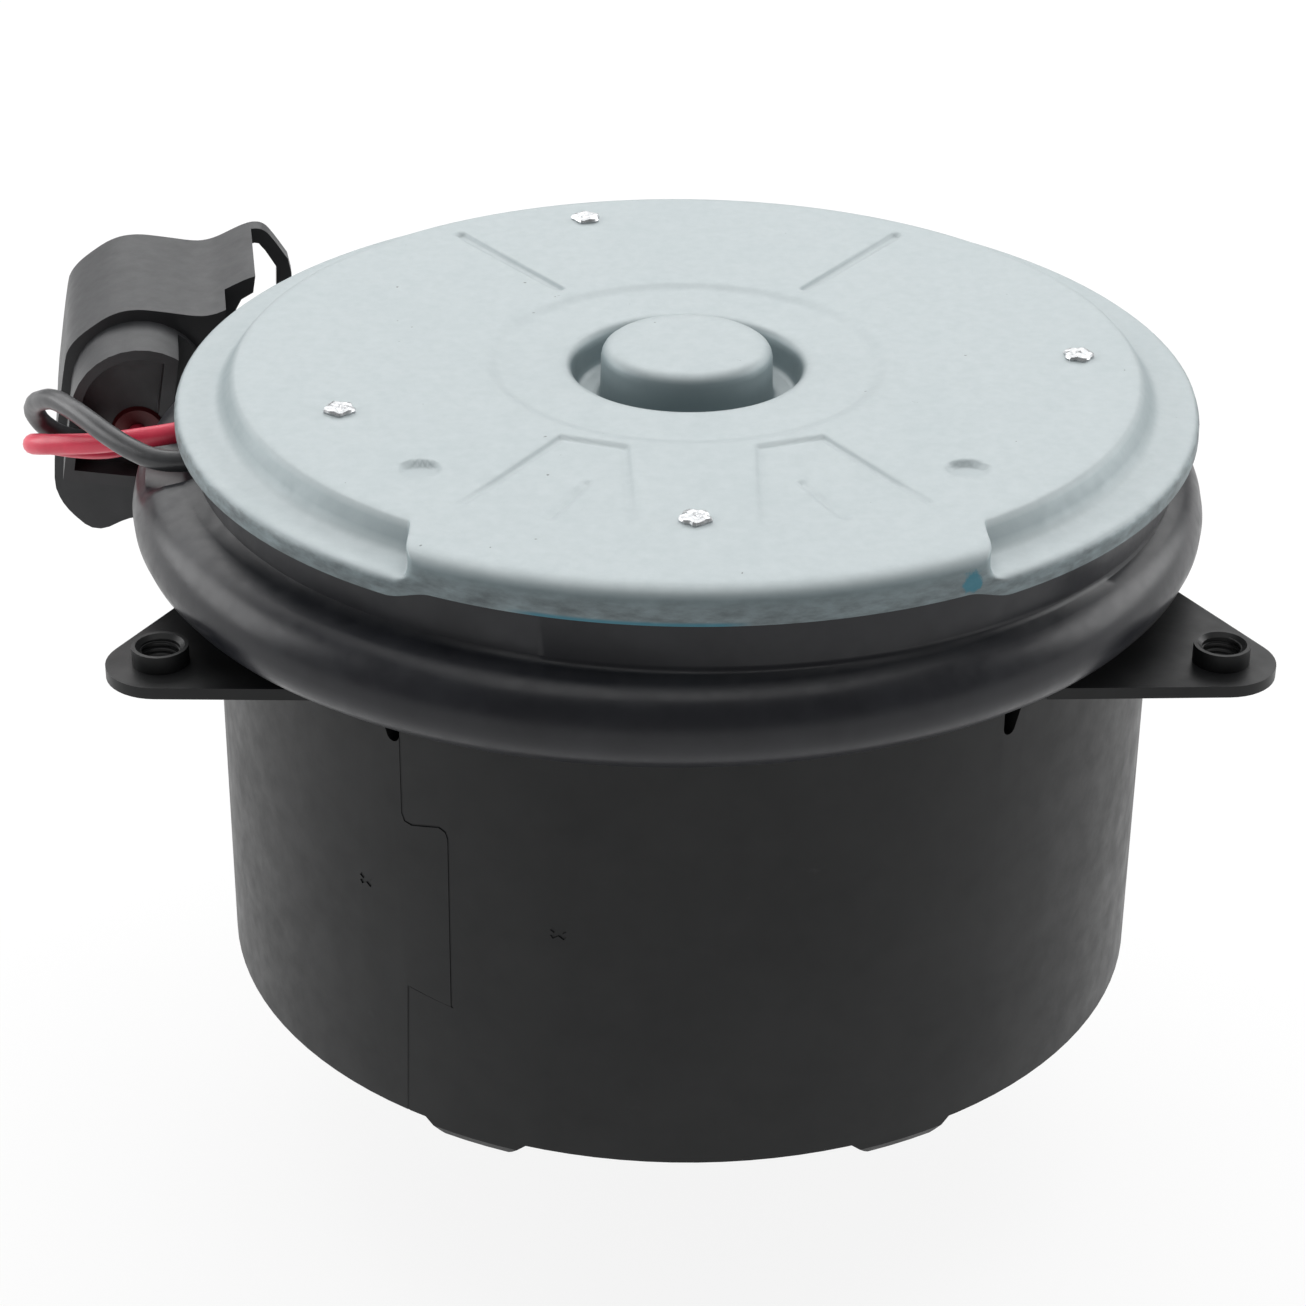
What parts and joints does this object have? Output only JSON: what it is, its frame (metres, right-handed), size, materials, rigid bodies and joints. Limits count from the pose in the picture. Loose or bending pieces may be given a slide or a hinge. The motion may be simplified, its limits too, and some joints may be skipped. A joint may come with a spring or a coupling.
{
  "type": "blower motor",
  "caption": "Closed-end drum-shaped DC blower motor with mounting ears, soft sealing ring, shaft and a two-way plug on short leads.",
  "frame": {"origin": "on the shaft axis, in the plane of the mounting ears' underside", "axes": "+Z along the shaft towards the closed end plate; the output shaft points towards -Z; +Y through one of the three ears"},
  "size_m": [0.1411, 0.1299, 0.101],
  "materials": {
    "black_steel": "satin",
    "zinc_steel": "satin",
    "bright_steel": "satin",
    "soft_black": "satin",
    "ferrite": "matte",
    "brown_board": "matte",
    "brass": "satin",
    "carbon": "matte",
    "copper": "satin",
    "bronze": "matte",
    "felt": "matte",
    "laminations": "satin",
    "slot_paper": "matte",
    "nylon": "satin",
    "capacitor_dip": "gloss",
    "plug_black": "satin",
    "red_insulation": "satin",
    "black_insulation": "satin",
    "seal_red": "satin",
    "tinned": "satin"
  },
  "bodies": {
    "stator": {"yoke": "black_steel", "output_bracket": "black_steel", "end_plate": "zinc_steel", "plate_rivets": "bright_steel", "sealing_ring": "soft_black", "lead_grommet": "soft_black", "magnet_1": "ferrite", "magnet_2": "ferrite", "magnet_3": "ferrite", "magnet_4": "ferrite", "magnet_clips": "bright_steel", "brush_card": "brown_board", "brush_tubes": "brass", "brush_spring_1": "bright_steel", "brush_spring_2": "bright_steel", "brush_spring_3": "bright_steel", "brush_spring_4": "bright_steel", "brush_pigtail_1": "copper", "brush_pigtail_2": "copper", "brush_pigtail_3": "copper", "brush_pigtail_4": "copper", "bus_positive": "brass", "bus_negative": "brass", "choke_cores": "ferrite", "choke_coils": "copper", "capacitor": "capacitor_dip", "rear_bush": "bronze", "bush_retainer": "bright_steel", "oil_felt": "felt", "bearing_outer_race": "bright_steel", "bearing_shields": "bright_steel", "lead_red": "red_insulation", "lead_black": "black_insulation", "connector_housing": "plug_black", "connector_terminals": "tinned", "wire_seals": "seal_red", "connector_bracket": "bright_steel", "bracket_rivets": "bright_steel"},
    "rotor": {"shaft": "bright_steel", "armature_core": "laminations", "slot_insulators": "slot_paper", "armature_winding": "copper", "commutator_hub": "brown_board", "commutator_bars": "copper", "shaft_spacer": "bright_steel", "thrust_washers": "nylon", "shaft_circlip": "black_steel", "water_slinger": "soft_black", "bearing_inner_race": "bright_steel", "bearing_balls": "bright_steel"},
    "brush_a": {"brush_1": "carbon"},
    "brush_b": {"brush_2": "carbon"},
    "brush_c": {"brush_3": "carbon"},
    "brush_d": {"brush_4": "carbon"},
    "latch": {"connector_latch": "plug_black"}
  },
  "joints": [
    {"name": "rotor_spin", "type": "hinge", "parent": "stator", "child": "rotor", "pos_m": [0, 0, 0], "axis": [0, 0, 1], "continuous": true},
    {"name": "brush_slide_1", "type": "slide", "parent": "stator", "child": "brush_a", "axis": [0.7071, 0.7071, 0], "range_m": [0, 0.003], "stiffness_N_per_m": 400, "springref_m": -0.01, "deforming": ["brush_spring_1", "brush_pigtail_1"]},
    {"name": "brush_slide_2", "type": "slide", "parent": "stator", "child": "brush_b", "axis": [-0.7071, 0.7071, 0], "range_m": [0, 0.003], "stiffness_N_per_m": 400, "springref_m": -0.01, "deforming": ["brush_spring_2", "brush_pigtail_2"]},
    {"name": "brush_slide_3", "type": "slide", "parent": "stator", "child": "brush_c", "axis": [-0.7071, -0.7071, 0], "range_m": [0, 0.003], "stiffness_N_per_m": 400, "springref_m": -0.01, "deforming": ["brush_spring_3", "brush_pigtail_3"]},
    {"name": "brush_slide_4", "type": "slide", "parent": "stator", "child": "brush_d", "axis": [0.7071, -0.7071, 0], "range_m": [0, 0.003], "stiffness_N_per_m": 400, "springref_m": -0.01, "deforming": ["brush_spring_4", "brush_pigtail_4"]},
    {"name": "latch_press", "type": "hinge", "parent": "stator", "child": "latch", "pos_m": [-0.05664, 0.03968, -0.00174], "axis": [0.1672, 0.0205, 0.9857], "range_deg": [0, 3.5], "stiffness_Nm_per_rad": 0.6, "springref_deg": -1.15}
  ]
}
